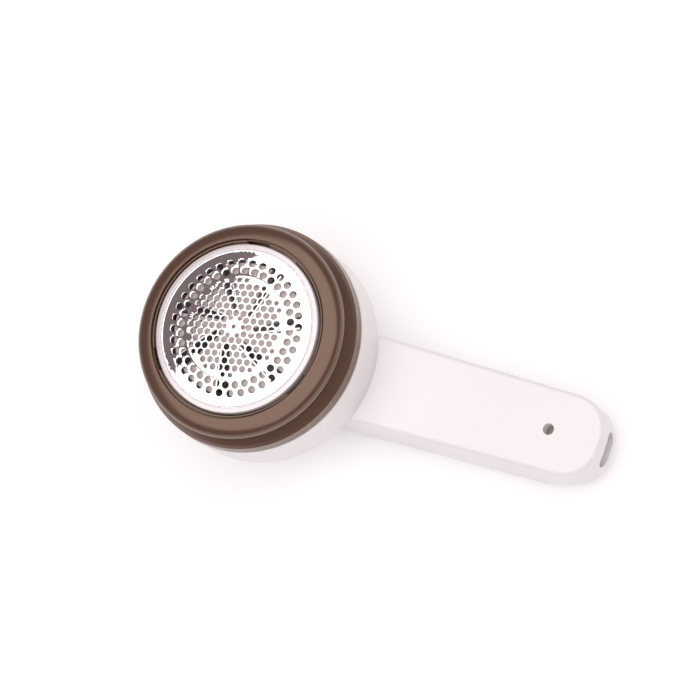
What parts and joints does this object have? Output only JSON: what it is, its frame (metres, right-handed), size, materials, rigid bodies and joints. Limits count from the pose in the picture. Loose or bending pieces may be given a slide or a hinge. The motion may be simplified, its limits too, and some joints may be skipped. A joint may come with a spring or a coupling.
{
  "type": "fabric shaver",
  "caption": "Handheld rechargeable fabric shaver: round drum with a smoked lint bin and domed perforated foil, on a straight white bar handle.",
  "frame": {"origin": "on the head's axis, in the flat rest face of the back", "axes": "+Z out of the foil, along the head's axis; +X along the handle, towards the tail"},
  "size_m": [0.1386, 0.0672, 0.0512],
  "materials": {
    "white_plastic": "glossy white moulded plastic",
    "smoked_plastic": "clear smoked brown plastic, polished",
    "bright_ring": "bright silvery white ring, satin",
    "foil_steel": "polished stainless foil",
    "petal_plastic": "pinkish grey moulded plastic",
    "blade_steel": "ground steel",
    "motor_steel": "zinc-plated drawn steel",
    "zinc_steel": "zinc-plated screws",
    "magnet": "sintered ferrite",
    "copper": "varnished copper",
    "brass": "sintered bronze and brass",
    "nickel": "nickel plate",
    "black_plastic": "black nylon",
    "orange_plastic": "orange acetal",
    "rubber": "black silicone",
    "felt": "grey felt",
    "cell_sleeve": "shrink sleeve",
    "circuit_board": "green solder mask",
    "light_lens": "milky light guide",
    "red_wire": "red wire insulation",
    "black_wire": "black wire insulation",
    "white_wire": "white sleeved pair"
  },
  "bodies": {
    "casing": {"front_shell": "white_plastic", "back_shell": "white_plastic", "shell_screws": "zinc_steel", "motor_can": "motor_steel", "motor_magnets": "magnet", "motor_end_cap": "black_plastic", "motor_brushes": "brass", "motor_bushes": "brass", "motor_damper": "rubber", "motor_screws": "zinc_steel", "shaft_seal": "felt", "interlock_switch": "black_plastic", "battery_cell": "cell_sleeve", "battery_tabs": "nickel", "battery_pad": "rubber", "charge_board": "circuit_board", "charge_port": "nickel", "port_tongue": "black_plastic", "charge_chip": "black_plastic", "charge_light": "light_lens", "light_pipe": "light_lens", "switch_board": "circuit_board", "power_switch": "nickel", "motor_lead_red": "red_wire", "motor_lead_black": "black_wire", "battery_lead_red": "red_wire", "battery_lead_black": "black_wire", "board_link": "white_wire"},
    "rotor": {"drive_shaft": "blade_steel", "cutter_wheel": "petal_plastic", "wheel_hub": "petal_plastic", "cutter_blades": "blade_steel", "motor_armature": "copper", "motor_commutator": "copper"},
    "bin": {"lint_bin": "smoked_plastic", "bin_seal": "rubber"},
    "foil_ring": {"foil_bezel": "bright_ring", "cutter_foil": "foil_steel", "foil_clamp_ring": "white_plastic"},
    "button": {"power_button": "white_plastic", "switch_plunger": "black_plastic"},
    "interlock": {"interlock_pin": "orange_plastic"}
  },
  "joints": [
    {"name": "cutter_spin", "type": "hinge", "parent": "casing", "child": "rotor", "pos_m": [0, 0, 0.03], "axis": [0, 0, 1], "continuous": true},
    {"name": "bin_pull", "type": "slide", "parent": "casing", "child": "bin", "axis": [0, 0, 1], "range_m": [0, 0.02]},
    {"name": "foil_twist", "type": "hinge", "parent": "bin", "child": "foil_ring", "pos_m": [0, 0, 0.049], "axis": [0, 0, 1], "range_deg": [0, 20]},
    {"name": "power_press", "type": "slide", "parent": "casing", "child": "button", "axis": [0, 0, 1], "range_m": [0, 0.0005], "stiffness_N_per_m": 2000, "springref_m": -0.0003},
    {"name": "interlock_rise", "type": "slide", "parent": "casing", "child": "interlock", "axis": [0, 0, 1], "range_m": [0, 0.0012]}
  ],
  "couplings": [
    {"joint": "interlock_rise", "follows": "bin_pull", "ratio": 0.06}
  ]
}
